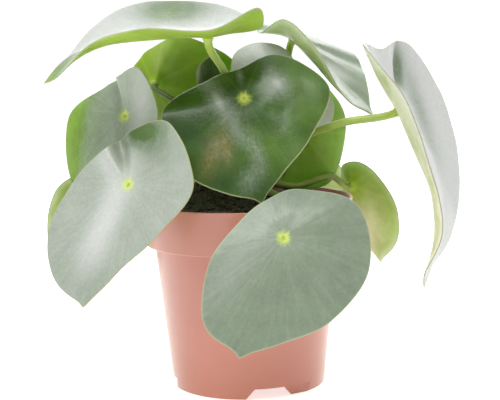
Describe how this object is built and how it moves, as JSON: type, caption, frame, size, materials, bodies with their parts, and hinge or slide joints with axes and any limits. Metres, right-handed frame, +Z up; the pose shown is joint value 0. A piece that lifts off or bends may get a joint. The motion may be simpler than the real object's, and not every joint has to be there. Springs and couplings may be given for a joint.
{
  "type": "potted raindrop peperomia",
  "caption": "Raindrop peperomia house plant with glossy shield-shaped leaves on curved stalks, in a terracotta-coloured plastic nursery pot filled with soil.",
  "frame": {"origin": "under the middle of the whole plant's bounding box, on the surface that the pot stands on; the pot's axis is 5.6 mm to the left of it and 1.3 mm in front of it", "axes": "+Z up, -Y towards the front that most leaves lean to, +X to the right seen from the front"},
  "size_m": [0.2312, 0.2074, 0.214],
  "materials": {
    "pot_plastic": "satin moulded polypropylene, terracotta pink",
    "peat": "crumbly dark peat with a little moss",
    "stalk": "smooth fleshy stalk, yellow-green with a reddish tinge",
    "leaf": "glossy waxy leaf skin, dark green above and pale lime below"
  },
  "bodies": {
    "root": {"pot": "pot_plastic", "soil": "peat", "stem_and_stalks": "stalk", "leaf_front_right": "leaf", "leaf_front_left": "leaf", "leaf_centre": "leaf", "leaf_left_dark": "leaf", "leaf_left_lime": "leaf", "leaf_back_lime": "leaf", "leaf_young": "leaf", "leaf_top_left": "leaf", "leaf_back_grey": "leaf", "leaf_top_right": "leaf", "leaf_right_green": "leaf", "leaf_right_grey": "leaf", "leaf_far_right": "leaf", "leaf_low_right": "leaf", "leaf_inner": "leaf", "leaf_back_left": "leaf", "leaf_back_right": "leaf", "leaf_back_mid": "leaf"}
  },
  "joints": []
}
